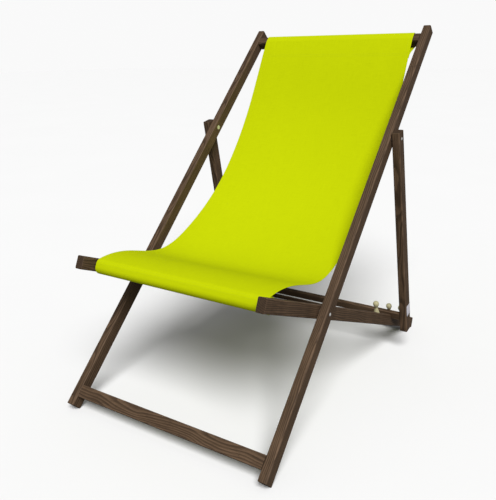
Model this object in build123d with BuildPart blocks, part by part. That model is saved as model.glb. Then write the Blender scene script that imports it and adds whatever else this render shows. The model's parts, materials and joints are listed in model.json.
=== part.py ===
from build123d import *
import os
from math import cos, radians, sin

# Folding deck chair: three hinged wooden frames and one cloth sling, standing open.
# +X runs across the chair to the sitter's left, +Y to the rear, +Z up. The origin is
# on the floor, at the middle of the chair's outline. All lengths are in millimetres.

# ---- rails -------------------------------------------------------------------
RAIL_T = 20.0            # across the chair
RAIL_D = 30.0            # in the side view
RAIL_EDGE = 3.0          # rounding of the long edges
END_EDGE = 0.8           # broken edge at the sawn ends
FOOT_FLAT = 1.5          # height worn off the corner that each foot stands on
HINGE_GAP = 2.0          # between two neighbouring frames, filled by a washer
PROP_OUTER_X = 292.0     # half the overall width, over the prop frame
PROP_X = PROP_OUTER_X - RAIL_T
BACK_X = PROP_X - HINGE_GAP - RAIL_T
SEAT_X = BACK_X - HINGE_GAP - RAIL_T

# ---- side view: angles from the floor, and distances along the rails ---------
BACK_ANGLE = 45.25
SEAT_ANGLE = 22.4
PROP_ANGLE = 78.05
BACK_LENGTH = 1198.0
SEAT_HINGE = 356.0       # along the back rail, from its foot
PROP_HINGE = 828.0
SEAT_FRONT = 240.0       # seat rail ahead of its hinge
PROP_ABOVE = 18.0        # prop rail beyond its hinge, at each end
PROP_BELOW = 547.0

# ---- crossbars ---------------------------------------------------------------
SLING_BAR_D = 30.0       # the two thick bars that carry the cloth
SLING_BAR_W = 26.0
TOP_BAR_EDGE = 6.0
FRONT_BAR_EDGE = 12.0    # well rounded, where the cloth turns under the knees
TOP_BAR_AT = 1158.0      # along the back rail
FRONT_BAR_AT = -185.0    # along the seat rail, from its hinge
SLAT_W = 28.0            # the flat crossbars
SLAT_T = 12.0
SLAT_EDGE = 2.5
LOWER_SLAT_AT = 35.0     # along the back rail
REAR_SLAT_AT = 620.0     # along the seat rail
PROP_BAR_TOP = 493.0     # along the prop rail
PROP_BAR_H = 20.0
PROP_BAR_T = 12.0
SADDLE_SIDE_PLAY = 1.0   # prop bar's notches over the seat rails
SADDLE_GAP = 0.1
TENON_DEPTH = 12.0
TENON_INSET = 3.0        # shoulder left all round a tenon
TENON_PLAY = 0.05

# ---- stop pegs ---------------------------------------------------------------
PEG_X = 236.0
PEG_PITCH = 103.0
PEG_COUNT = 3
PEG_LOADED = 1           # the peg that the prop bar leans on, counted from 0
PEG_BASE_R = 7.5
PEG_NECK_R = 3.6
PEG_NECK_AT = 14.0
PEG_HEAD_R = 7.5
PEG_HEAD_AT = 24.5       # height of the head's widest place
PEG_HEIGHT = 33.0
PEG_TENON_R = 3.5
PEG_TENON = 14.0
PEG_GAP = 0.4            # prop bar's rear face to the skirt of its peg
PEG_SKIRT = 10.0         # carried on below the rail's top before it is cut level
PEG_TENON_LAP = 2.0      # overlap of tenon and skirt

# ---- hinge hardware ----------------------------------------------------------
BOLT_R = 2.5
BOLT_RUN = 0.05          # running clearance of the bolt in wood and nut
BOLT_LENGTH = 40.0
BOLT_TIP = 0.5
HEAD_R = 3.8
HEAD_H = 1.5             # lower than HINGE_GAP, so a rail can swing past a bolt head
WASHER_R = 9.0
WASHER_T = 1.9
NUT_R = 6.0
NUT_T = 2.6
NUT_BARREL_R = 3.8
NUT_BARREL = 9.0
NUT_POCKET = 3.0         # depth of the counterbore that hides the nut
NUT_PLAY = 0.3
HEAD_GAP = 0.1           # under the prop bolt's head, each nut's flange and each peg's tenon

# ---- sling -------------------------------------------------------------------
SLING_W = 450.0
CLOTH_T = 1.6
CLOTH_GAP = 0.3
FRONT_RISE = 8.0         # slope of the cloth where it leaves the front bar, and
TOP_RISE = 61.0          # where it reaches the top rail


def side_plane(origin, angle):
    """Side view of one frame: local x along its rails, local y square to them."""
    return Plane(origin=origin, x_dir=(0, cos(radians(angle)), sin(radians(angle))), z_dir=(1, 0, 0))


def at(frame, along, off=0.0, x=0.0):
    """A point of the chair, given in a frame's side view."""
    return frame.from_local_coords(Vector(along, off, x))


# The foot of the back rail stands on its lower corner, and so does the seat rail's tail.
foot_rise = RAIL_D / 2 * cos(radians(BACK_ANGLE)) - FOOT_FLAT
foot_lead = RAIL_D / 2 * sin(radians(BACK_ANGLE))
hinge_y = SEAT_HINGE * cos(radians(BACK_ANGLE))
hinge_z = SEAT_HINGE * sin(radians(BACK_ANGLE)) + foot_rise
tail_rise = RAIL_D / 2 * cos(radians(SEAT_ANGLE)) - FOOT_FLAT
SEAT_REAR = (hinge_z - tail_rise) / sin(radians(SEAT_ANGLE))
tail_y = hinge_y + SEAT_REAR * cos(radians(SEAT_ANGLE)) + RAIL_D / 2 * sin(radians(SEAT_ANGLE))
foot_y = -(tail_y - foot_lead) / 2

back = side_plane((0, foot_y, foot_rise), BACK_ANGLE)
seat = side_plane(at(back, SEAT_HINGE), -SEAT_ANGLE)
prop = side_plane(at(back, PROP_HINGE), -PROP_ANGLE)

# Where the prop bar's rear face meets the plane of the seat rails' top faces.
to_seat_angle = radians(PROP_ANGLE - SEAT_ANGLE)
prop_bar_front = -RAIL_D / 2
prop_bar_rear = prop_bar_front + PROP_BAR_T
prop_hinge_on_seat = seat.to_local_coords(at(prop, 0))
drop = prop_hinge_on_seat.Y - RAIL_D / 2 + prop_bar_rear * cos(to_seat_angle)
reach = drop / sin(to_seat_angle)
bar_rear_on_seat = seat.to_local_coords(at(prop, reach, prop_bar_rear)).X
loaded_peg_at = bar_rear_on_seat + (PEG_BASE_R + PEG_GAP) / sin(to_seat_angle)
peg_places = [loaded_peg_at + (i - PEG_LOADED) * PEG_PITCH for i in range(PEG_COUNT)]
peg_direction = -prop.x_dir

SIDES = {"left": 1, "right": -1}


def low_face(inner_x, side, depth=RAIL_T):
    """Lower X of a slab that lies from inner_x outward, on either side of the chair."""
    return inner_x if side > 0 else -inner_x - depth


def tenon_size(bar):
    return (bar[0] - 2 * TENON_INSET, bar[1] - 2 * TENON_INSET)


def straight_rail(label, frame, start, end, inner_x, side, bars=(), bores=(), pockets=(), pegs=()):
    """One square-sawn rail with rounded long edges, its mortises and its bolt holes."""
    with BuildPart() as piece:
        with BuildSketch(frame.offset(low_face(inner_x, side))):
            with Locations(((start + end) / 2, 0)):
                Rectangle(end - start, RAIL_D)
        extrude(amount=RAIL_T)
        fillet(piece.edges().filter_by(Axis(frame.origin, frame.x_dir)), RAIL_EDGE)
        ends = piece.faces().filter_by(Axis(frame.origin, frame.x_dir))
        chamfer(ends.edges(), END_EDGE)
        split(bisect_by=Plane.XY, keep=Keep.TOP)
        for place, bar in bars:
            width, height = tenon_size(bar)
            with BuildSketch(frame.offset(low_face(inner_x, side, TENON_DEPTH))):
                with Locations(place):
                    RectangleRounded(width + 2 * TENON_PLAY, height + 2 * TENON_PLAY, TENON_INSET / 2)
            extrude(amount=TENON_DEPTH, mode=Mode.SUBTRACT)
        holes = [(place, BOLT_R + BOLT_RUN, RAIL_T) for place in bores]
        holes += [(place, NUT_R + NUT_PLAY, NUT_POCKET) for place in pockets]
        holes += [(place, NUT_BARREL_R + NUT_PLAY, NUT_POCKET + NUT_BARREL) for place in pockets]
        for place, radius, depth in holes:
            with BuildSketch(frame.offset(low_face(inner_x, side, depth))):
                with Locations((place, 0)):
                    Circle(radius)
            extrude(amount=depth, mode=Mode.SUBTRACT)
        for place in pegs:
            root = at(frame, place, RAIL_D / 2, side * PEG_X)
            with BuildSketch(Plane(origin=root + peg_direction * PEG_TENON_LAP, z_dir=peg_direction)):
                Circle(PEG_TENON_R + TENON_PLAY)
            extrude(amount=-(PEG_TENON + PEG_TENON_LAP), mode=Mode.SUBTRACT)
    piece.part.label = label
    return piece.part


def crossbar(label, frame, place, bar, edge, inner_x, saddles=False):
    """One bar between two rails, with a stub tenon at each end."""
    with BuildPart() as piece:
        with BuildSketch(frame.offset(-inner_x)):
            with Locations(place):
                RectangleRounded(*bar, edge)
        extrude(amount=2 * inner_x)
        with BuildSketch(frame.offset(-inner_x - TENON_DEPTH)):
            with Locations(place):
                RectangleRounded(*tenon_size(bar), TENON_INSET / 2)
        extrude(amount=2 * (inner_x + TENON_DEPTH))
        if saddles:
            width = RAIL_T + 2 * SADDLE_SIDE_PLAY
            for side in SIDES.values():
                with BuildSketch(seat.offset(low_face(SEAT_X - SADDLE_SIDE_PLAY, side, width))):
                    with Locations((peg_places[PEG_LOADED], SADDLE_GAP)):
                        Rectangle(4 * PROP_BAR_H, RAIL_D)
                extrude(amount=width, mode=Mode.SUBTRACT)
    piece.part.label = label
    return piece.part


def peg(label, place, side):
    """A turned peg: round head, narrow neck, skirt cut level with the rail, and a tenon."""
    root = at(seat, place, RAIL_D / 2, side * PEG_X)
    profile_plane = Plane(origin=root, x_dir=(1, 0, 0), z_dir=Vector(1, 0, 0).cross(peg_direction))
    flare = PEG_BASE_R + (PEG_BASE_R - PEG_NECK_R) * PEG_SKIRT / PEG_NECK_AT
    with BuildPart() as piece:
        with BuildSketch(profile_plane):
            with BuildLine():
                Polyline((0, -PEG_SKIRT), (flare, -PEG_SKIRT), (PEG_NECK_R, PEG_NECK_AT))
                Spline(
                    (PEG_NECK_R, PEG_NECK_AT),
                    (PEG_HEAD_R, PEG_HEAD_AT),
                    (0, PEG_HEIGHT),
                    tangents=[(0.3, 1), (-1, 0)],
                )
                Line((0, PEG_HEIGHT), (0, -PEG_SKIRT))
            make_face()
        revolve(axis=Axis(root, peg_direction))
        rail_top = Plane(origin=root, x_dir=(1, 0, 0), z_dir=seat.y_dir)
        split(bisect_by=rail_top, keep=Keep.TOP)
        with BuildSketch(Plane(origin=root + peg_direction * PEG_TENON_LAP, z_dir=peg_direction)):
            Circle(PEG_TENON_R)
        extrude(amount=-(PEG_TENON + PEG_TENON_LAP - HEAD_GAP))
    piece.part.label = label
    return piece.part


def bolt(label, frame_point, head_face, side):
    """Domed bolt, its head outside and its shank running towards the chair's middle."""
    seat_plane = Plane(origin=(side * head_face, frame_point.Y, frame_point.Z), z_dir=(side, 0, 0))
    sphere_r = (HEAD_R**2 + HEAD_H**2) / (2 * HEAD_H)
    with BuildPart() as piece:
        with BuildSketch(seat_plane):
            Circle(BOLT_R)
        extrude(amount=-BOLT_LENGTH)
        tip = piece.edges().filter_by(GeomType.CIRCLE).sort_by(Axis((0, 0, 0), (side, 0, 0)))[0]
        chamfer(tip, BOLT_TIP)
        with BuildSketch(Plane(origin=seat_plane.origin, x_dir=(0, 1, 0), z_dir=(0, 0, 1))):
            with BuildLine():
                Line((0, 0), (HEAD_R, 0))
                RadiusArc((HEAD_R, 0), (0, -side * HEAD_H), side * sphere_r)
                Line((0, -side * HEAD_H), (0, 0))
            make_face()
        revolve(axis=Axis(seat_plane.origin, (1, 0, 0)))
    piece.part.label = label
    return piece.part


def washer(label, frame_point, inner_x, side):
    """Flat washer that keeps two frames apart."""
    with BuildPart() as piece:
        with BuildSketch(Plane.YZ.offset(low_face(inner_x, side, WASHER_T))):
            with Locations((frame_point.Y, frame_point.Z)):
                Circle(WASHER_R)
                Circle(BOLT_R + BOLT_RUN, mode=Mode.SUBTRACT)
        extrude(amount=WASHER_T)
    piece.part.label = label
    return piece.part


def barrel_nut(label, frame_point, inner_face, side):
    """Flanged sleeve nut, sunk in its counterbore, closed on the inner side."""
    flange_face = inner_face + NUT_POCKET - NUT_T - HEAD_GAP
    with BuildPart() as piece:
        with BuildSketch(Plane.YZ.offset(low_face(flange_face, side, NUT_T))):
            with Locations((frame_point.Y, frame_point.Z)):
                Circle(NUT_R)
        extrude(amount=NUT_T)
        with BuildSketch(Plane.YZ.offset(low_face(flange_face, side, NUT_T + NUT_BARREL))):
            with Locations((frame_point.Y, frame_point.Z)):
                Circle(NUT_BARREL_R)
        extrude(amount=NUT_T + NUT_BARREL)
        with BuildSketch(Plane.YZ.offset(low_face(flange_face + NUT_T / 2, side, NUT_T + NUT_BARREL))):
            with Locations((frame_point.Y, frame_point.Z)):
                Circle(BOLT_R + BOLT_RUN)
        extrude(amount=NUT_T + NUT_BARREL, mode=Mode.SUBTRACT)
    piece.part.label = label
    return piece.part


def sling():
    """The cloth: a hemmed sleeve round each thick bar and one hanging sheet between them."""
    mid = CLOTH_GAP + CLOTH_T / 2
    ends = []
    for frame, place, edge, slope in (
        (seat, FRONT_BAR_AT, FRONT_BAR_EDGE, radians(FRONT_RISE)),
        (back, TOP_BAR_AT, TOP_BAR_EDGE, radians(TOP_RISE)),
    ):
        corner = at(frame, place - SLING_BAR_W / 2 + edge, SLING_BAR_D / 2 - edge)
        reach = edge + mid
        ends.append((corner.Y - reach * sin(slope), corner.Z + reach * cos(slope)))
    start, end = ends
    rise, fall = radians(FRONT_RISE), radians(TOP_RISE)
    hang = [(-262, 346), (-140, 318.5), (-15, 357), (95, 428), (190, 525), (282, 663)]
    with BuildPart() as piece:
        with BuildSketch(Plane.YZ):
            with BuildLine():
                Spline(start, *hang, end, tangents=[(cos(rise), sin(rise)), (cos(fall), sin(fall))])
            trace(line_width=CLOTH_T)
            for frame, place, edge, tilt in (
                (seat, FRONT_BAR_AT, FRONT_BAR_EDGE, -SEAT_ANGLE),
                (back, TOP_BAR_AT, TOP_BAR_EDGE, BACK_ANGLE),
            ):
                centre = at(frame, place)
                for grow, mode in ((CLOTH_GAP + CLOTH_T, Mode.ADD), (CLOTH_GAP, Mode.SUBTRACT)):
                    with Locations((centre.Y, centre.Z)):
                        RectangleRounded(
                            SLING_BAR_W + 2 * grow,
                            SLING_BAR_D + 2 * grow,
                            edge + grow,
                            rotation=tilt,
                            mode=mode,
                        )
        extrude(amount=SLING_W / 2, both=True)
    piece.part.label = "sling"
    return piece.part


# ---- which bar sits where ----------------------------------------------------
thick = (SLING_BAR_W, SLING_BAR_D)
slat = (SLAT_W, SLAT_T)
prop_bar = (PROP_BAR_H, PROP_BAR_T)
top_place = (TOP_BAR_AT, 0)
lower_place = (LOWER_SLAT_AT, RAIL_D / 2 - SLAT_T / 2)
front_place = (FRONT_BAR_AT, 0)
rear_place = (REAR_SLAT_AT, -RAIL_D / 2 + SLAT_T / 2)
prop_place = (PROP_BAR_TOP + PROP_BAR_H / 2, (prop_bar_front + prop_bar_rear) / 2)

pieces = [
    crossbar("top_rail", back, top_place, thick, TOP_BAR_EDGE, BACK_X),
    crossbar("lower_stretcher", back, lower_place, slat, SLAT_EDGE, BACK_X),
    crossbar("seat_front_bar", seat, front_place, thick, FRONT_BAR_EDGE, SEAT_X),
    crossbar("seat_rear_stretcher", seat, rear_place, slat, SLAT_EDGE, SEAT_X),
    crossbar("prop_crossbar", prop, prop_place, prop_bar, SLAT_EDGE, PROP_X, saddles=True),
    sling(),
]
for name, side in SIDES.items():
    seat_hinge = at(back, SEAT_HINGE)
    prop_hinge = at(back, PROP_HINGE)
    pieces += [
        straight_rail(
            f"back_rail_{name}", back, 0, BACK_LENGTH, BACK_X, side,
            bars=[(top_place, thick), (lower_place, slat)],
            bores=[SEAT_HINGE, PROP_HINGE], pockets=[PROP_HINGE],
        ),
        straight_rail(
            f"seat_rail_{name}", seat, -SEAT_FRONT, SEAT_REAR, SEAT_X, side,
            bars=[(front_place, thick), (rear_place, slat)],
            bores=[0], pockets=[0], pegs=peg_places,
        ),
        straight_rail(
            f"prop_rail_{name}", prop, -PROP_ABOVE, PROP_BELOW, PROP_X, side,
            bars=[(prop_place, prop_bar)], bores=[0],
        ),
        bolt(f"seat_hinge_bolt_{name}", seat_hinge, BACK_X + RAIL_T, side),
        bolt(f"prop_hinge_bolt_{name}", prop_hinge, PROP_OUTER_X + HEAD_GAP, side),
        washer(f"seat_hinge_washer_{name}", seat_hinge, BACK_X - WASHER_T, side),
        washer(f"prop_hinge_washer_{name}", prop_hinge, BACK_X + RAIL_T, side),
        barrel_nut(f"seat_hinge_nut_{name}", seat_hinge, SEAT_X, side),
        barrel_nut(f"prop_hinge_nut_{name}", prop_hinge, BACK_X, side),
    ]
    pieces += [peg(f"stop_peg_{name}_{i + 1}", place, side) for i, place in enumerate(peg_places)]

os.makedirs("parts", exist_ok=True)
for piece in pieces:
    export_step(piece, f"parts/{piece.label}.step")

print("seat hinge", at(back, SEAT_HINGE), "prop hinge", at(back, PROP_HINGE))
print("seat rail behind its hinge", SEAT_REAR, "pegs at", peg_places)
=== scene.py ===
import json
from math import atan2, ceil, cos, hypot, pi, radians, sin

import bmesh
import bpy
import numpy as np
from mathutils import Matrix, Vector, noise


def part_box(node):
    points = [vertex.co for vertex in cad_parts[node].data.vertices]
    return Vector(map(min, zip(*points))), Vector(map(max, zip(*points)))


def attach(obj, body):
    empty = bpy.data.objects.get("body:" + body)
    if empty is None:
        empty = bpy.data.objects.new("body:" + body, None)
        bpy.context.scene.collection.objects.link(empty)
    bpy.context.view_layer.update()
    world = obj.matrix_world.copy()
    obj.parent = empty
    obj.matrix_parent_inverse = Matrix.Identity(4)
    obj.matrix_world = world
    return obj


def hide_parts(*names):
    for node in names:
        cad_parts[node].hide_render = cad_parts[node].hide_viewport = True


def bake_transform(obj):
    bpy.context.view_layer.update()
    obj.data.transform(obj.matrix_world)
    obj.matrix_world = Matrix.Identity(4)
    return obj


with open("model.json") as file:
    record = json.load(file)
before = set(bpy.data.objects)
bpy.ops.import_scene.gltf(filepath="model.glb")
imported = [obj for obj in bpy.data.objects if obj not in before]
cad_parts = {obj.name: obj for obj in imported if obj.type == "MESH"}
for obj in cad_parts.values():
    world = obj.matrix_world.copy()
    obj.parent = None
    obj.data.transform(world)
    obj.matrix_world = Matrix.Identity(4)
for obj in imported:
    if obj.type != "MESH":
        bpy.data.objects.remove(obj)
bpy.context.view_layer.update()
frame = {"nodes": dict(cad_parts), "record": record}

nodes = frame["nodes"]
hinges = {joint["name"]: Vector(joint["pos_m"]) for joint in frame["record"]["behaviour"]["joints"]}

# ---- directions of the three frames, in the side view ------------------------
BACK_ANGLE = radians(45.25)
SEAT_ANGLE = radians(-22.4)
PROP_ANGLE = radians(-78.05)


def along(angle):
    """Direction of a frame's rails."""
    return Vector((0, cos(angle), sin(angle)))


def square(angle):
    """Direction square to a frame's rails, towards the sitter's side."""
    return Vector((0, -sin(angle), cos(angle)))


def centre(node):
    """Middle of a CAD node's box."""
    low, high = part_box(node)
    return (Vector(low) + Vector(high)) / 2


# ---- camera ------------------------------------------------------------------
CAMERA_AT = (0.8209, -1.3207, 0.8004)
CAMERA_LOOK = (-0.53789, 0.81576, -0.21261)
CAMERA_ROLL = radians(-0.725)
FOCAL_LENGTH = 45.95             # millimetres, on a sensor 36 mm wide
SENSOR_WIDTH = 36
SHIFT = (0.0007, -0.1139)


def make_camera():
    data = bpy.data.cameras.new("camera")
    data.sensor_width = SENSOR_WIDTH
    data.lens = FOCAL_LENGTH
    data.shift_x, data.shift_y = SHIFT
    camera = bpy.data.objects.new("camera", data)
    bpy.context.collection.objects.link(camera)
    place = Matrix.Translation(CAMERA_AT)
    aim = Vector(CAMERA_LOOK).to_track_quat("-Z", "Y").to_matrix().to_4x4()
    camera.matrix_world = place @ aim @ Matrix.Rotation(CAMERA_ROLL, 4, "Z")
    bpy.context.scene.camera = camera


# ---- shader helper -----------------------------------------------------------
class Shader:
    """A small writer of node trees."""

    def __init__(self, name):
        self.material = bpy.data.materials.new(name)
        self.material.use_nodes = True
        self.tree = self.material.node_tree
        self.surface = self.tree.nodes["Principled BSDF"]

    def node(self, kind, inputs=(), **settings):
        made = self.tree.nodes.new(kind)
        for key, value in settings.items():
            setattr(made, key, value)
        for key, value in dict(inputs).items():
            self.feed(made.inputs[key], value)
        return made

    def feed(self, socket, value):
        if isinstance(value, bpy.types.NodeSocket):
            self.tree.links.new(value, socket)
        else:
            socket.default_value = value

    def math(self, operation, *values, clamp=False):
        made = self.node("ShaderNodeMath", operation=operation, use_clamp=clamp)
        for socket, value in zip(made.inputs, values):
            self.feed(socket, value)
        return made.outputs[0]

    def plus(self, a, b):
        return self.math("ADD", a, b)

    def times(self, a, b):
        return self.math("MULTIPLY", a, b)

    def size(self, value):
        return self.math("ABSOLUTE", value)

    def dot(self, a, b):
        made = self.node("ShaderNodeVectorMath", operation="DOT_PRODUCT")
        self.feed(made.inputs[0], a)
        self.feed(made.inputs[1], b)
        return made.outputs["Value"]

    def object_place(self):
        return self.node("ShaderNodeTexCoord").outputs["Object"]

    def step(self, value, low, high):
        """Smooth step from 0 at low to 1 at high."""
        made = self.node(
            "ShaderNodeMapRange",
            {"Value": value, "From Min": low, "From Max": high},
            interpolation_type="SMOOTHSTEP",
        )
        return made.outputs[0]

    def noise(self, vector, scale, detail=3.0, roughness=0.55):
        made = self.node(
            "ShaderNodeTexNoise",
            {"Vector": vector, "Scale": scale, "Detail": detail, "Roughness": roughness},
        )
        return made.outputs["Fac"]

    def vector(self, x, y, z):
        return self.node("ShaderNodeCombineXYZ", {"X": x, "Y": y, "Z": z}).outputs[0]

    def mix(self, factor, a, b):
        """From colour a to colour b."""
        made = self.node("ShaderNodeMix", data_type="RGBA")
        self.feed(made.inputs[0], factor)
        self.feed(made.inputs[6], a)
        self.feed(made.inputs[7], b)
        return made.outputs[2]

    def ramp(self, factor, stops):
        made = self.node("ShaderNodeValToRGB", {"Fac": factor})
        points = made.color_ramp.elements
        while len(points) < len(stops):
            points.new(0.5)
        for point, (position, colour) in zip(points, stops):
            point.position = position
            point.color = colour
        return made.outputs["Color"]

    def bump(self, height, distance, strength):
        made = self.node("ShaderNodeBump", {"Height": height, "Distance": distance, "Strength": strength})
        return made.outputs["Normal"]

    def finish(self, **inputs):
        for key, value in inputs.items():
            self.feed(self.surface.inputs[key.replace("_", " ")], value)
        return self.material


def grey(value):
    return (value, value, value, 1)


# ---- wood --------------------------------------------------------------------
RAIL_HALF = (0.015, 0.010)       # half of a rail's depth and of its thickness
BAR_HALF = (0.013, 0.015)
SLAT_HALF = (0.014, 0.006)
PROP_BAR_HALF = (0.010, 0.006)
STAIN_DARK = (0.015, 0.0088, 0.0054, 1)
STAIN_MID = (0.054, 0.0325, 0.0180, 1)
STAIN_LIGHT = (0.116, 0.072, 0.042, 1)
# Colour of the pale arrises: partly real wear, partly a painted highlight.
STAIN_WORN_AND_HIGHLIT = (0.185, 0.120, 0.078, 1)
RING = 0.0042                    # spacing of the growth rings
RING_WANDER = 9.0                # rings that the grain drifts over
PITH = (0.018, 0.006, 0.012)     # pith's mean place and spread in depth, and its spread in thickness
# Density of each pattern along and across the grain, per metre.
DRIFT = (2.6, 9.0)
FIBRES = (14.0, 420.0)
PORES = (95.0, 1500.0)
FLECKS = (60.0, 700.0)
CLOUDS = 7.0
ARRIS_PATCHES = 30.0
WORN_AND_LIT_FROM = 0.0034               # an arris is worn pale, with a painted highlight, from this far in from the face
WORN_AND_LIT_TO = 0.0004

BEECH_DARK = (0.27, 0.24, 0.13, 1)
BEECH_MID = (0.40, 0.37, 0.22, 1)
BEECH_LIGHT = (0.50, 0.46, 0.29, 1)
BEECH_GRIME = (0.25, 0.18, 0.10, 1)
TOOL_RING = 0.0011               # spacing of the marks of turning

ZINC_DARK = (0.50, 0.50, 0.49, 1)
ZINC_LIGHT = (0.66, 0.66, 0.64, 1)
ZINC_DULL = (0.36, 0.35, 0.33, 1)


def local_axes(shader, origin, first, second, third):
    """The surface point along three axes of the piece, measured from its middle."""
    offset = shader.node("ShaderNodeVectorMath", operation="SUBTRACT")
    shader.feed(offset.inputs[0], shader.object_place())
    shader.feed(offset.inputs[1], origin)
    return [shader.dot(offset.outputs[0], axis) for axis in (first, second, third)]


def grain_place(shader, axes, density, shift):
    """The surface point, scaled along and across the grain and moved by a piece's own shift."""
    u, v, w = axes
    lengthwise, sideways = density
    return shader.vector(
        shader.times(u, lengthwise),
        shader.times(v, sideways),
        shader.plus(shader.times(w, sideways), shift),
    )


def growth_rings(shader, axes, seed):
    """Rings round a pith that lies beside the piece, cut at a slant: dark at 0, pale at 1."""
    _, v, w = axes
    drift = shader.noise(grain_place(shader, axes, DRIFT, seed * 3.7), 1.6, detail=2.0)
    pith_v = shader.math("SUBTRACT", v, PITH[0] + PITH[1] * sin(seed * 2.3))
    pith_w = shader.math("SUBTRACT", w, PITH[2] * cos(seed * 1.7))
    square_v = shader.math("POWER", shader.size(pith_v), 2.0)
    square_w = shader.math("POWER", shader.size(pith_w), 2.0)
    radius = shader.math("SQRT", shader.plus(square_v, square_w))
    turns = shader.plus(shader.math("DIVIDE", radius, RING), shader.times(drift, RING_WANDER))
    ring = shader.math("FRACT", turns)
    return shader.math("SUBTRACT", shader.step(ring, 0.0, 0.75), shader.step(ring, 0.86, 1.0))


def worn_and_highlit_arris(shader, axes, half):
    """1 where a long edge is rubbed pale and given a painted highlight, 0 elsewhere."""
    u, v, w = axes
    near_v = shader.step(shader.size(v), half[0] - WORN_AND_LIT_FROM, half[0] - WORN_AND_LIT_TO)
    near_w = shader.step(shader.size(w), half[1] - WORN_AND_LIT_FROM, half[1] - WORN_AND_LIT_TO)
    patchiness = shader.step(shader.noise(shader.vector(shader.times(u, ARRIS_PATCHES), v, w), 1.3), 0.30, 0.70)
    return shader.times(shader.times(near_v, near_w), shader.plus(patchiness, 0.15))


def stained_wood(name, origin, grain, second, third, half, seed):
    """Dark stained hardwood: rings, fibres, pores, worn arrises that also carry a painted highlight, and
    darker end grain.
    """
    shader = Shader(name)
    axes = local_axes(shader, origin, grain, second, third)
    u, v, w = axes
    rings = growth_rings(shader, axes, seed)
    fibre = shader.noise(grain_place(shader, axes, FIBRES, seed * 11.0), 1.0, detail=4.0, roughness=0.6)
    pores = shader.noise(grain_place(shader, axes, PORES, seed * 5.0), 1.0, detail=1.0)
    pores = shader.step(pores, 0.60, 0.72)
    cloud = shader.noise(shader.vector(shader.times(u, CLOUDS), v, w), 1.0 + 0.1 * seed, detail=2.0)

    tone = shader.plus(
        shader.times(rings, 0.27),
        shader.plus(shader.times(fibre, 0.62), shader.times(cloud, 0.36)),
    )
    colour = shader.ramp(tone, [(0.24, STAIN_DARK), (0.58, STAIN_MID), (0.86, STAIN_LIGHT)])
    colour = shader.mix(shader.times(pores, 0.7), colour, STAIN_DARK)
    # Pale long edges: real wear, and a painted highlight along each arris.
    wear_and_highlight = shader.math("MULTIPLY", worn_and_highlit_arris(shader, axes, half), 0.4, clamp=True)
    colour = shader.mix(wear_and_highlight, colour, STAIN_WORN_AND_HIGHLIT)
    facing = shader.dot(shader.node("ShaderNodeTexCoord").outputs["Normal"], grain)
    end_grain = shader.step(shader.size(facing), 0.6, 0.9)
    colour = shader.mix(shader.times(end_grain, 0.5), colour, STAIN_DARK)

    height = shader.math("SUBTRACT", shader.times(fibre, 0.7), shader.times(pores, 0.6))
    height = shader.plus(height, shader.times(rings, 0.25))
    return shader.finish(
        Base_Color=colour,
        Roughness=shader.plus(0.55, shader.times(fibre, 0.22)),
        Normal=shader.bump(height, 0.00028, 0.8),
        Specular_IOR_Level=0.14,
    )


def raw_wood(name, origin, grain, seed):
    """Pale turned beech, with flecks along the grain and tool rings round it."""
    shader = Shader(name)
    side = Vector((1, 0, 0))
    axes = local_axes(shader, origin, grain, side, grain.cross(side))
    fibre = shader.noise(grain_place(shader, axes, FLECKS, seed * 7.0), 1.0, detail=3.0)
    colour = shader.ramp(fibre, [(0.25, BEECH_DARK), (0.55, BEECH_MID), (0.8, BEECH_LIGHT)])
    grime = shader.step(shader.noise(shader.vector(*axes), 160.0 + seed), 0.52, 0.72)
    colour = shader.mix(shader.times(grime, 0.35), colour, BEECH_GRIME)
    marks = shader.math("SINE", shader.times(axes[0], 2 * pi / TOOL_RING))
    height = shader.plus(fibre, shader.times(marks, 0.35))
    return shader.finish(
        Base_Color=colour,
        Roughness=shader.plus(0.5, shader.times(fibre, 0.25)),
        Normal=shader.bump(height, 0.0001, 0.7),
        Specular_IOR_Level=0.3,
    )


def zinc():
    """Zinc plated steel, lightly scratched and dulled."""
    shader = Shader("zinc_plate")
    place = shader.object_place()
    spangle = shader.node("ShaderNodeTexVoronoi", {"Vector": place, "Scale": 900.0}).outputs["Color"]
    value = shader.node("ShaderNodeSeparateColor", {"Color": spangle}).outputs[0]
    dull = shader.step(shader.noise(place, 260.0), 0.45, 0.75)
    colour = shader.ramp(value, [(0.0, ZINC_DARK), (1.0, ZINC_LIGHT)])
    colour = shader.mix(shader.times(dull, 0.5), colour, ZINC_DULL)
    return shader.finish(
        Base_Color=colour,
        Metallic=0.45,
        Roughness=shader.plus(0.28, shader.times(dull, 0.3)),
        Normal=shader.bump(shader.noise(place, 1500.0), 0.00005, 0.5),
    )


def paint_frames():
    """Gives each CAD node its material, with the grain along the piece."""
    across = Vector((1, 0, 0))
    bodies = {"back_rail": BACK_ANGLE, "seat_rail": SEAT_ANGLE, "prop_rail": PROP_ANGLE}
    bars = {
        "top_rail": (BACK_ANGLE, BAR_HALF),
        "lower_stretcher": (BACK_ANGLE, SLAT_HALF),
        "seat_front_bar": (SEAT_ANGLE, BAR_HALF),
        "seat_rear_stretcher": (SEAT_ANGLE, SLAT_HALF),
        "prop_crossbar": (PROP_ANGLE, PROP_BAR_HALF),
    }
    metal = zinc()
    peg_grain = -along(PROP_ANGLE)
    for seed, name in enumerate(sorted(nodes)):
        kind = next((k for k in bodies if name.startswith(k)), None)
        if kind:
            angle = bodies[kind]
            axes = (along(angle), square(angle), across)
            material = stained_wood(f"wood_{name}", centre(name), *axes, RAIL_HALF, seed)
        elif name in bars:
            angle, half = bars[name]
            axes = (across, along(angle), square(angle))
            material = stained_wood(f"wood_{name}", centre(name), *axes, half, seed)
        elif name.startswith("stop_peg"):
            material = raw_wood(f"wood_{name}", centre(name), peg_grain, seed)
        elif "hinge" in name:
            material = metal
        else:
            continue
        for slot in nodes[name].material_slots:
            slot.material = material


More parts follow.
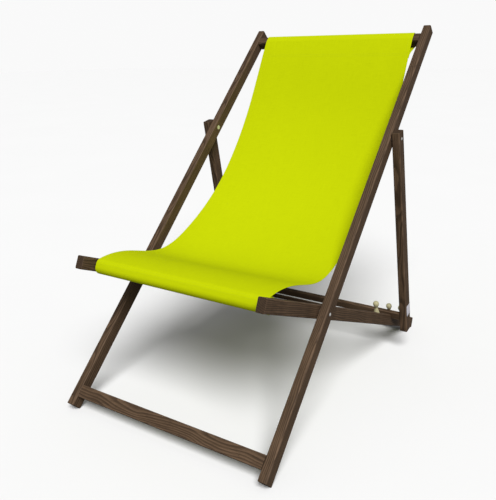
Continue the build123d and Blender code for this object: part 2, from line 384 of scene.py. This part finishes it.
# ---- sling -------------------------------------------------------------------
CLOTH = 0.0008                   # thickness of the canvas
HEM_STEP = 0.00085               # from the sheet to its folded hem
HEM_WIDTH = 0.012
INNER_AIR = 0.0015               # from a bar to the middle of the cloth round it
OUTER_AIR = 0.0033               # the same, for a second turn over the first
TOP_AIR = 0.0017
TOP_EDGE = 0.006
FRONT_EDGE = 0.012
TOP_SEAM = 0.042                 # from the top rail to its sleeve's seam
FRONT_SEAM = 0.008               # the front seam lies on the bar, just ahead of the open sheet
TAIL = 0.014                     # what is left of the cloth beyond the seam
TAIL_STEP = 0.0031               # from the sheet to the end sewn under it
SLING_DRIFT = (0.001, 0.007)     # the cloth has slid this far along the front bar and the top rail
LEAVE_FRONT = radians(8)         # slope of the open sheet at the front bar, and
LEAVE_TOP = radians(61)          # at the top rail
GRID = 0.003                     # spacing of the cloth's points along it
ARC_STEP = 0.0012                # the same, in its turns round the bars
SAME_POINT = 1e-5
SLING_HALF = 0.2265
SAG = 0.005                      # the open sheet's middle hangs lower than its edges
RIPPLE = 0.0009
PUCKER = 0.0005                  # beside the bars
SAG_CLEAR = (0.02, 0.04)         # from the front bar and from the top rail to where the sag starts
SAG_RUN = 0.20                   # length over which it comes in
HEM_SEAM_X = SLING_HALF - 0.0095
SEAM_ROWS = (0.003, 0.009)
STITCH = 0.0032                  # from one stitch to the next
STITCH_BODY = 0.28               # half of what has the thread's full width, as a share of STITCH
STITCH_TIP = 0.42                # half of a stitch from tip to tip, likewise
THREAD = 0.00022                 # the sewing thread's radius
THREAD_PITCH = 0.00075           # between two threads of the weave
UV_SCALE = 1.4                   # metres of cloth to one unit of the UV map
INNER_WRAP = FRONT_EDGE + INNER_AIR  # radius of the cloth's turns round a bar's corners
OUTER_WRAP = FRONT_EDGE + OUTER_AIR
TOP_WRAP = TOP_EDGE + TOP_AIR
# The open sheet's sag in the side view, between the two bars.
HANG = [(-0.262, 0.346), (-0.140, 0.3185), (-0.015, 0.357), (0.095, 0.428), (0.190, 0.525), (0.282, 0.663)]
CANVAS = (0.435, 0.505, 0.0015, 1)
CANVAS_DEEP = (0.375, 0.44, 0.001, 1)
CANVAS_PALE = (0.455, 0.525, 0.002, 1)
SLUBS = (1400.0, 30.0)           # unevenness across a thread and along it, per metre


def on_circle(middle, radius, angle):
    return (middle[0] + radius * cos(angle), middle[1] + radius * sin(angle))


def arc(middle, radius, first, last, last_radius=None):
    """Points on a circle of the side view, from one angle to another, or on a slow spiral."""
    count = max(3, ceil(abs(last - first) * radius / ARC_STEP))
    angles = np.linspace(first, last, count)
    reach = np.linspace(radius, last_radius or radius, count)
    return [on_circle(middle, r, t) for r, t in zip(reach, angles)]


def clamped_spline(points, start_tangent, end_tangent, spacing):
    """Smooth curve through the points with set directions at its ends, sampled evenly."""
    points = np.array(points)
    chord = np.hypot(*np.diff(points, axis=0).T)
    knots = np.concatenate([[0], np.cumsum(chord)])
    count = len(points)
    system = np.zeros((count, count))
    right = np.zeros((count, 2))
    system[0, 0] = system[-1, -1] = 1
    right[0] = start_tangent
    right[-1] = end_tangent
    for i in range(1, count - 1):
        before, after = chord[i - 1], chord[i]
        system[i, i - 1], system[i, i], system[i, i + 1] = after, 2 * (before + after), before
        slope_in = (points[i] - points[i - 1]) / before
        slope_out = (points[i + 1] - points[i]) / after
        right[i] = 3 * (after * slope_in + before * slope_out)
    slopes = np.linalg.solve(system, right)
    line = []
    for i in range(count - 1):
        steps = max(2, ceil(chord[i] / spacing))
        for t in np.linspace(0, 1, steps, endpoint=False):
            a = 2 * t**3 - 3 * t**2 + 1
            b = (t**3 - 2 * t**2 + t) * chord[i]
            c = -2 * t**3 + 3 * t**2
            d = (t**3 - t**2) * chord[i]
            line.append(a * points[i] + b * slopes[i] + c * points[i + 1] + d * slopes[i + 1])
    line.append(points[-1])
    return [tuple(p) for p in line]


def normals(line):
    """Left-hand normals of a side view line that runs from the front to the top."""
    run = np.gradient(line, axis=0)
    run /= np.hypot(*run.T)[:, None]
    return np.column_stack([-run[:, 1], run[:, 0]])


def corner_centres(node, angle, edge):
    """Centres of a thick bar's four rounded corners, by side along and square to the rails."""
    centres = {}
    for i in (-1, 1):
        for j in (-1, 1):
            lengthwise = i * (BAR_HALF[0] - edge) * along(angle)
            sideways = j * (BAR_HALF[1] - edge) * square(angle)
            corner = centre(node) + lengthwise + sideways
            centres[i, j] = (corner.y, corner.z)
    return centres


def open_sheet():
    """The open stretch of the cloth, from the front bar's crest to the top rail's lower corner."""
    front = corner_centres("seat_front_bar", SEAT_ANGLE, FRONT_EDGE)[(-1, 1)]
    top = corner_centres("top_rail", BACK_ANGLE, TOP_EDGE)[(-1, 1)]
    start = on_circle(front, OUTER_WRAP, LEAVE_FRONT + pi / 2)
    end = on_circle(top, TOP_WRAP, LEAVE_TOP + pi / 2)
    rise = (cos(LEAVE_FRONT), sin(LEAVE_FRONT))
    fall = (cos(LEAVE_TOP), sin(LEAVE_TOP))
    return np.array(clamped_spline([start, *HANG, end], rise, fall, GRID))


def run_length(line):
    return np.concatenate([[0], np.cumsum(np.hypot(*np.diff(line, axis=0).T))])


def sewn_end(under, corner):
    """The cloth's end, sewn under the sheet, up to where it touches the top rail's lower corner.

    The points of under lie below the sheet and run away from the rail.
    """
    length = run_length(under)
    seam = under[np.searchsorted(length, TOP_SEAM)]
    end = under[np.searchsorted(length, TOP_SEAM + TAIL)]
    dy, dz = seam[0] - corner[0], seam[1] - corner[1]
    angle = atan2(dz, dy) + float(np.arccos(TOP_WRAP / hypot(dy, dz)))
    landing = np.array(on_circle(corner, TOP_WRAP, angle))
    bend = seam + (landing - seam) * 0.35
    ease = [(1 - t) ** 2 * end + 2 * t * (1 - t) * seam + t**2 * bend for t in np.linspace(0, 1, 14)]
    straight = [bend + (landing - bend) * t for t in np.linspace(0, 1, 8)[1:-1]]
    return ease + straight, angle


def cloth_line():
    """The whole strip in the side view, from its front end to its top end.

    Also says which of its points the open sheet starts and stops at.
    """
    sheet = open_sheet()
    under = sheet - normals(sheet) * TAIL_STEP
    front = corner_centres("seat_front_bar", SEAT_ANGLE, FRONT_EDGE)
    top = corner_centres("top_rail", BACK_ANGLE, TOP_EDGE)

    facing = SEAT_ANGLE + pi
    radii = np.linspace(INNER_WRAP, OUTER_WRAP, 4)
    line = arc(front[(-1, 1)], INNER_WRAP, facing, facing - pi / 2)
    for turn, corner in enumerate(((1, 1), (1, -1), (-1, -1))):
        begin = facing - pi / 2 * (turn + 1)
        line += arc(front[corner], radii[turn], begin, begin - pi / 2, radii[turn + 1])
    line += arc(front[(-1, 1)], OUTER_WRAP, facing - 2 * pi, LEAVE_FRONT + pi / 2 - 2 * pi)
    first = len(line)
    line += list(sheet[1:-1])
    last = len(line)

    tail, touch = sewn_end(under[::-1], top[(-1, -1)])
    over = BACK_ANGLE + pi / 2
    line += arc(top[(-1, 1)], TOP_WRAP, LEAVE_TOP + pi / 2, over)
    line += arc(top[(1, 1)], TOP_WRAP, over, over - pi / 2)
    line += arc(top[(1, -1)], TOP_WRAP, over - pi / 2, over - pi)
    line += arc(top[(-1, -1)], TOP_WRAP, over - pi, touch) + tail[::-1]
    return subdivided(line, first, last)


def subdivided(line, first, last):
    """Splits the long straight runs, and follows the two marked points."""
    made, marks = [], {}
    for i, point in enumerate(line):
        marks[i] = len(made)
        made.append(tuple(point))
        if i + 1 < len(line):
            gap = np.array(line[i + 1]) - np.array(point)
            pieces = ceil(hypot(*gap) / (1.4 * GRID))
            made += [tuple(np.array(point) + gap * k / pieces) for k in range(1, pieces)]
    steps = np.hypot(*np.diff(made, axis=0).T)
    keep = [0] + [i + 1 for i, step in enumerate(steps) if step > SAME_POINT]
    order = {old: new for new, old in enumerate(keep)}
    return np.array([made[i] for i in keep]), order[marks[first]], order[marks[last]]


def smooth(t):
    t = min(max(t, 0.0), 1.0)
    return t * t * (3 - 2 * t)


class Cloth:
    """The strip's side view, with a place for any point given along and across it."""

    def __init__(self):
        self.line, first, last = cloth_line()
        self.normal = normals(self.line)
        self.length = run_length(self.line)
        self.start, self.stop = self.length[first], self.length[last]

    def place(self, at, x, off=0.0):
        """The point at a length along the strip and a width across it, off its middle."""
        y, z, ny, nz = (
            float(np.interp(at, self.length, values))
            for values in (self.line[:, 0], self.line[:, 1], self.normal[:, 0], self.normal[:, 1])
        )
        free = smooth((at - self.start - SAG_CLEAR[0]) / SAG_RUN)
        free *= smooth((self.stop - at - SAG_CLEAR[1]) / SAG_RUN)
        across = 1 - (x / SLING_HALF) ** 2
        waver = noise.noise(Vector((x * 7.0, at * 2.6, 3.1)))
        waver += 0.4 * noise.noise(Vector((x * 19.0, at * 7.0, 8.4)))
        pull = noise.noise(Vector((x * 30.0, at * 2.0, 1.7)))
        near_top = smooth((at - self.start) / 0.1) * smooth((self.stop - at) / 0.03)
        off += free * (-SAG * across + RIPPLE * waver) + near_top * PUCKER * pull * (1 - 0.8 * free)
        share = min(max((at - self.start) / (self.stop - self.start), 0.0), 1.0)
        drift = SLING_DRIFT[0] + (SLING_DRIFT[1] - SLING_DRIFT[0]) * share
        return Vector((x + drift, y + off * ny, z + off * nz))


def cross_section():
    """Across the strip: hem, fold, sheet, fold, hem, as (x, offset) and the width so far."""
    bend = HEM_STEP / 2
    half = SLING_HALF - bend
    inner = SLING_HALF - HEM_WIDTH
    fold = [(half + bend * cos(t), bend * (sin(t) - 1)) for t in np.linspace(-pi / 2, pi / 2, 6)]
    hem = [(x, -HEM_STEP) for x in np.linspace(inner, half, 5)[:-1]]
    middle = [(half * sin(t), 0.0) for t in np.linspace(pi / 2, -pi / 2, 56)[1:-1]]
    right = hem + fold
    points = right + middle + [(-x, off) for x, off in reversed(right)]
    return points, run_length(np.array(points))


def strip_mesh(cloth):
    section, width = cross_section()
    mesh = bpy.data.meshes.new("sling_cloth")
    shape = bmesh.new()
    uv = shape.loops.layers.uv.new("cloth")
    rows = [[shape.verts.new(cloth.place(at, x, off)) for x, off in section] for at in cloth.length]
    for i in range(len(rows) - 1):
        for j in range(len(section) - 1):
            corners = ((i, j), (i, j + 1), (i + 1, j + 1), (i + 1, j))
            face = shape.faces.new([rows[a][b] for a, b in corners])
            face.smooth = True
            for loop, (a, b) in zip(face.loops, corners):
                loop[uv].uv = (width[b] / UV_SCALE, cloth.length[a] / UV_SCALE)
    shape.to_mesh(mesh)
    shape.free()
    return mesh, width[-1]


def baked(name, mesh, *modifiers):
    """A new object with its modifiers worked into its mesh."""
    source = bpy.data.objects.new(name + "_source", mesh)
    bpy.context.collection.objects.link(source)
    for kind, settings in modifiers:
        modifier = source.modifiers.new(kind.lower(), kind)
        for key, value in settings.items():
            setattr(modifier, key, value)
    graph = bpy.context.evaluated_depsgraph_get()
    made = bpy.data.meshes.new_from_object(source.evaluated_get(graph))
    bpy.data.objects.remove(source)
    piece = bpy.data.objects.new(name, made)
    bpy.context.collection.objects.link(piece)
    return piece


def add_stitch(shape, place, run, side, up):
    """One short bar of thread, with tapered ends, lying on the cloth."""
    around = [(side * cos(t) + up * sin(t)) * THREAD for t in np.linspace(0, 2 * pi, 6, endpoint=False)]
    rings = []
    for step in (-STITCH_BODY, STITCH_BODY):
        base = place + run * STITCH * step
        rings.append([shape.verts.new(base + off) for off in around])
    tips = (-STITCH_TIP, STITCH_TIP)
    ends = [shape.verts.new(place + run * STITCH * step - up * THREAD) for step in tips]
    for k in range(len(around)):
        after = (k + 1) % len(around)
        a, b = rings[0][k], rings[0][after]
        c, d = rings[1][after], rings[1][k]
        shape.faces.new((a, b, c, d))
        shape.faces.new((b, a, ends[0]))
        shape.faces.new((d, c, ends[1]))


def stitch_mesh(cloth):
    """Thread along both hems, and across the two seams that close the cloth round its bars."""
    shape = bmesh.new()
    across = Vector((1, 0, 0))
    top, low = CLOTH / 2, -HEM_STEP - CLOTH / 2
    for at in np.arange(cloth.start - 3 * TAIL, cloth.length[-1] - TAIL, STITCH):
        for x in (-HEM_SEAM_X, HEM_SEAM_X):
            for off, sign in ((top, 1), (low, -1)):
                here = cloth.place(at, x, off)
                run = (cloth.place(at + GRID, x, off) - here).normalized()
                add_stitch(shape, here, run, across, run.cross(across) * -sign)
    seams = [(cloth.start - FRONT_SEAM - gap, ((top, 1),)) for gap in SEAM_ROWS]
    seams += [(cloth.stop - TOP_SEAM - gap, ((top, 1), (-TAIL_STEP - top, -1))) for gap in SEAM_ROWS]
    for at, faces in seams:
        for x in np.arange(-SLING_HALF + STITCH, SLING_HALF - STITCH, STITCH):
            for off, sign in faces:
                here = cloth.place(at, x, off)
                run = (cloth.place(at, x + GRID, off) - here).normalized()
                up = (cloth.place(at, x, off + GRID) - here).normalized() * sign
                add_stitch(shape, here, run, run.cross(up), up)
    bmesh.ops.recalc_face_normals(shape, faces=shape.faces)
    mesh = bpy.data.meshes.new("sling_stitching")
    shape.to_mesh(mesh)
    shape.free()
    return mesh


def canvas():
    """Lime green plain weave canvas, matt, with uneven threads."""
    shader = Shader("lime_canvas")
    uv = shader.node("ShaderNodeUVMap", uv_map="cloth").outputs[0]
    metres = shader.node("ShaderNodeVectorMath", operation="SCALE")
    shader.feed(metres.inputs[0], uv)
    shader.feed(metres.inputs["Scale"], UV_SCALE)
    across, down, _ = shader.node("ShaderNodeSeparateXYZ", {"Vector": metres.outputs[0]}).outputs
    fine, coarse = SLUBS
    warp_place = shader.vector(shader.times(across, fine), shader.times(down, coarse), 0.0)
    weft_place = shader.vector(shader.times(across, coarse), shader.times(down, fine), 5.0)
    slub_a = shader.noise(warp_place, 1.0)
    slub_b = shader.noise(weft_place, 1.0)
    warp = shader.math("SINE", shader.times(across, pi / THREAD_PITCH))
    weft = shader.math("SINE", shader.times(down, pi / THREAD_PITCH))
    weave = shader.times(warp, weft)
    height = shader.plus(weave, shader.plus(slub_a, slub_b))
    slubs = shader.times(shader.plus(slub_a, slub_b), 0.5)
    colour = shader.ramp(slubs, [(0.30, CANVAS_DEEP), (0.50, CANVAS), (0.70, CANVAS_PALE)])
    crossing = shader.times(shader.size(weave), 0.10)
    colour = shader.mix(shader.math("SUBTRACT", 0.10, crossing), colour, CANVAS_DEEP)
    soft = shader.noise(metres.outputs[0], 5.0, detail=2.0)
    colour = shader.mix(shader.times(shader.step(soft, 0.35, 0.7), 0.08), colour, CANVAS_PALE)
    return shader.finish(
        Base_Color=colour,
        Roughness=shader.plus(0.86, shader.times(slubs, 0.12)),
        Normal=shader.bump(height, 0.00012, 0.6),
        Specular_IOR_Level=0.02,
    )


def thread():
    """Twisted sewing thread in the cloth's colour."""
    shader = Shader("lime_thread")
    twist = shader.noise(shader.object_place(), 3500.0)
    colour = shader.ramp(twist, [(0.3, CANVAS_DEEP), (0.7, CANVAS)])
    return shader.finish(
        Base_Color=colour,
        Roughness=shader.plus(0.55, shader.times(twist, 0.2)),
        Normal=shader.bump(twist, 0.00008, 0.6),
        Specular_IOR_Level=0.25,
    )


def make_sling():
    """The cloth and its stitching."""
    cloth = Cloth()
    mesh, cut_width = strip_mesh(cloth)
    sling = baked("sling_cloth", mesh, ("SOLIDIFY", {"thickness": CLOTH, "offset": 0.0}))
    sling.data.materials.clear()
    sling.data.materials.append(canvas())
    stitching = bpy.data.objects.new("sling_stitching", stitch_mesh(cloth))
    bpy.context.collection.objects.link(stitching)
    stitching.data.materials.append(thread())
    for piece in (sling, stitching):
        upper = cloth.place(cloth.stop - TOP_SEAM - 2 * TAIL, 0.0)
        lower = cloth.place(cloth.start + 2 * TAIL, 0.0)
        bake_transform(piece)
    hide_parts("sling")
    print("sling cut to", round(cut_width, 4), "by", round(float(cloth.length[-1]), 4), "m")


# ---- blank label -------------------------------------------------------------
LABEL_AT = 0.484                 # along the prop rail, from its hinge
LABEL_LENGTH = 0.031
LABEL_ON_SIDE = 0.026
LABEL_ON_REAR = 0.009
LABEL_FILM = 0.00025
LABEL_CURL = 1.5 * LABEL_FILM    # how far its two ends lift
RAIL_EDGE = 0.003
LABEL_PALE = (0.50, 0.49, 0.53, 1)
LABEL_GREY = (0.38, 0.37, 0.41, 1)


def label_mesh():
    """A thin film, folded round the rear outer edge of one prop rail."""
    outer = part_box("prop_rail_left")[1][0]
    down, rear = along(PROP_ANGLE), square(PROP_ANGLE)
    origin = hinges["prop_swing"] + down * LABEL_AT
    edge = RAIL_HALF[0] - RAIL_EDGE
    side_x = outer - RAIL_EDGE
    lift = RAIL_EDGE + LABEL_FILM
    bend = [(side_x + lift * cos(t), edge + lift * sin(t)) for t in np.linspace(0, pi / 2, 9)]
    start = [(side_x + lift, edge - LABEL_ON_SIDE + RAIL_EDGE)]
    path = start + bend + [(side_x - LABEL_ON_REAR + RAIL_EDGE, edge + lift)]
    shape = bmesh.new()
    rows = []
    for k in np.linspace(-0.5, 0.5, 9):
        curl = LABEL_CURL * (2 * abs(k)) ** 4
        row = []
        for x, off in path:
            point = origin + down * k * LABEL_LENGTH + rear * off
            row.append(shape.verts.new((x + curl, point.y, point.z)))
        rows.append(row)
    for upper, lower in zip(rows, rows[1:]):
        for j in range(len(path) - 1):
            shape.faces.new((upper[j], upper[j + 1], lower[j + 1], lower[j])).smooth = True
    mesh = bpy.data.meshes.new("blank_label")
    shape.to_mesh(mesh)
    shape.free()
    return mesh


def film():
    """Satin film, a little smudged."""
    shader = Shader("label_film")
    smudge = shader.step(shader.noise(shader.object_place(), 90.0), 0.45, 0.8)
    return shader.finish(
        Base_Color=shader.mix(smudge, LABEL_PALE, LABEL_GREY),
        Roughness=shader.plus(0.35, shader.times(smudge, 0.2)),
        Normal=shader.bump(smudge, 0.00005, 0.4),
    )


def make_label():
    """A small blank label near the foot of one prop rail."""
    label = baked("blank_label", label_mesh(), ("SOLIDIFY", {"thickness": LABEL_FILM, "offset": -0.6}))
    label.data.materials.clear()
    label.data.materials.append(film())
    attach(label, "prop_frame")


# ---- floor and light ---------------------------------------------------------
WORLD_LIGHT = 0.26
FLOOR_BOUNCE = 0.25              # the floor is paler to look at than in the light that it throws back
BACKGROUND = 0.95
SUN_FROM = (1.45, -1.75, 2.45)
SUN_LIGHT = 4.15
SUN_SIZE = radians(32)
FLOOR_REACH = 30
FLOOR_DARK = 0.78
FLOOR_PALE = 0.80


def make_floor():
    corners = [(x * FLOOR_REACH, y * FLOOR_REACH, 0) for x, y in ((-1, -1), (1, -1), (1, 1), (-1, 1))]
    mesh = bpy.data.meshes.new("floor")
    mesh.from_pydata(corners, [], [(0, 1, 2, 3)])
    floor = bpy.data.objects.new("floor", mesh)
    bpy.context.collection.objects.link(floor)
    shader = Shader("pale_floor")
    mottle = shader.noise(shader.object_place(), 1.5)
    seen = shader.mix(mottle, grey(FLOOR_DARK), grey(FLOOR_PALE))
    path = shader.node("ShaderNodeLightPath").outputs["Is Camera Ray"]
    colour = shader.mix(path, grey(FLOOR_BOUNCE), seen)
    mesh.materials.append(shader.finish(Base_Color=colour, Roughness=0.9, Specular_IOR_Level=0.1))


def make_world():
    """Even light from all round, and a white backdrop for the camera alone."""
    world = bpy.data.worlds.new("studio")
    world.use_nodes = True
    tree = world.node_tree
    light = tree.nodes["Background"]
    light.inputs["Color"].default_value = grey(1.0)
    light.inputs["Strength"].default_value = WORLD_LIGHT
    seen = tree.nodes.new("ShaderNodeBackground")
    seen.inputs["Color"].default_value = grey(BACKGROUND)
    choice = tree.nodes.new("ShaderNodeMixShader")
    tree.links.new(tree.nodes.new("ShaderNodeLightPath").outputs["Is Camera Ray"], choice.inputs["Fac"])
    tree.links.new(light.outputs[0], choice.inputs[1])
    tree.links.new(seen.outputs[0], choice.inputs[2])
    tree.links.new(choice.outputs[0], tree.nodes["World Output"].inputs["Surface"])
    bpy.context.scene.world = world


def make_sun():
    data = bpy.data.lights.new("key", "SUN")
    data.energy = SUN_LIGHT
    data.angle = SUN_SIZE
    key = bpy.data.objects.new("key", data)
    bpy.context.collection.objects.link(key)
    key.location = SUN_FROM
    key.rotation_mode = "QUATERNION"
    key.rotation_quaternion = (-Vector(SUN_FROM)).to_track_quat("-Z", "Y")


make_camera()
paint_frames()
make_sling()
make_label()
make_floor()
make_world()
make_sun()
bpy.context.scene.view_settings.view_transform = "Standard"
